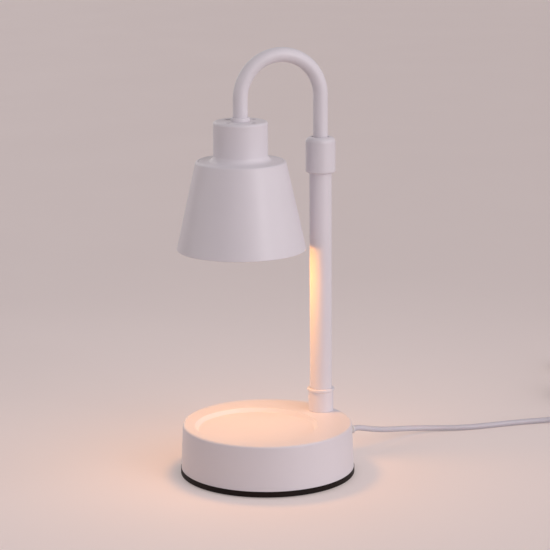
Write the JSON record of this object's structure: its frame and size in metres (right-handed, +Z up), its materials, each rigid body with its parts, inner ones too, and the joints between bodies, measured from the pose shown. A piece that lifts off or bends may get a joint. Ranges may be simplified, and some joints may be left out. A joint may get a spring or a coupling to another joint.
{
  "type": "candle warmer lamp",
  "caption": "White candle warmer lamp: weighted round base with a candle dish, telescopic column with twist collar, swivelling bent arm, downward shade with halogen bulb, in-line dimmer.",
  "frame": {"origin": "centre of the round base on the table", "axes": "+Z up the column, -Y from the column towards the candle dish, +X to the right of someone facing the lamp's back"},
  "size_m": [0.1673, 0.4649, 0.3162],
  "materials": {
    "white_paint": "satin",
    "black_plastic": "matte",
    "pad_rubber": "matte",
    "weight_iron": "matte",
    "screw_steel": "satin",
    "bracket_steel": "satin",
    "brass_parts": "satin",
    "nylon": "matte",
    "gland_rubber": "matte",
    "lead_sheath": "satin",
    "ceramic": "matte",
    "bulb_glass": "gloss",
    "wire_sleeve": "matte",
    "switch_plastic": "satin",
    "circuit_board": "satin"
  },
  "bodies": {
    "base": {"base_shell": "white_paint", "bottom_plate": "black_plastic", "anti_slip_pad": "pad_rubber", "counterweight": "weight_iron", "base_screws": "screw_steel", "weight_screws": "screw_steel", "foot_ferrule": "white_paint", "column_tube": "white_paint", "column_plug": "screw_steel", "column_stud": "brass_parts", "column_washer": "screw_steel", "column_nut": "screw_steel", "column_head": "brass_parts", "clamp_collet": "nylon", "cord_gland": "gland_rubber", "supply_lead": "lead_sheath", "lead_clamp": "nylon", "clamp_screws": "screw_steel", "terminal_block": "nylon", "terminal_screws": "brass_parts", "column_lead": "lead_sheath", "slack_lead": "lead_sheath", "cord_to_dimmer": "lead_sheath", "dimmer_lower_shell": "switch_plastic", "dimmer_upper_shell": "switch_plastic", "dimmer_board": "circuit_board", "dimmer_axle": "screw_steel", "dimmer_screws": "screw_steel", "dimmer_boots": "gland_rubber", "cord_to_coil": "lead_sheath", "cord_coil": "lead_sheath", "coil_tie": "black_plastic", "cord_tail": "lead_sheath", "plug_body": "gland_rubber", "plug_blades": "brass_parts"},
    "collar": {"lock_collar": "white_paint"},
    "slider": {"guide_bush": "nylon"},
    "arm": {"arm_tube": "white_paint", "upper_keeper": "screw_steel", "lower_keeper": "screw_steel", "arm_insert": "brass_parts", "shade_cap": "white_paint", "shade": "white_paint", "crown_ring": "white_paint", "shade_nipple": "brass_parts", "shade_washer": "screw_steel", "shade_nut": "screw_steel", "holder_bracket": "bracket_steel", "lampholder": "ceramic", "holder_screws": "screw_steel", "bulb_base": "ceramic", "bulb_reflector": "bulb_glass", "bulb_lens": "bulb_glass", "bulb_capsule": "bulb_glass", "bulb_pins": "screw_steel", "arm_lead": "lead_sheath", "holder_wires": "wire_sleeve"},
    "thumb_wheel": {"dimmer_wheel": "black_plastic"}
  },
  "joints": [
    {"name": "height_slide", "type": "slide", "parent": "base", "child": "slider", "axis": [0, 0, 1], "range_m": [-0.028, 0.06], "deforming": ["slack_lead"]},
    {"name": "arm_swivel", "type": "hinge", "parent": "slider", "child": "arm", "pos_m": [0, 0.0521, 0.2], "axis": [0, 0, 1], "range_deg": [-71.3, 108.7]},
    {"name": "collar_twist", "type": "hinge", "parent": "base", "child": "collar", "pos_m": [0, 0.0521, 0.235], "axis": [0, 0, 1], "range_deg": [0, 90]},
    {"name": "dimmer_turn", "type": "hinge", "parent": "base", "child": "thumb_wheel", "pos_m": [0.0806, 0.31585, 0.008], "axis": [0, 0, 1], "range_deg": [0, 270]}
  ]
}
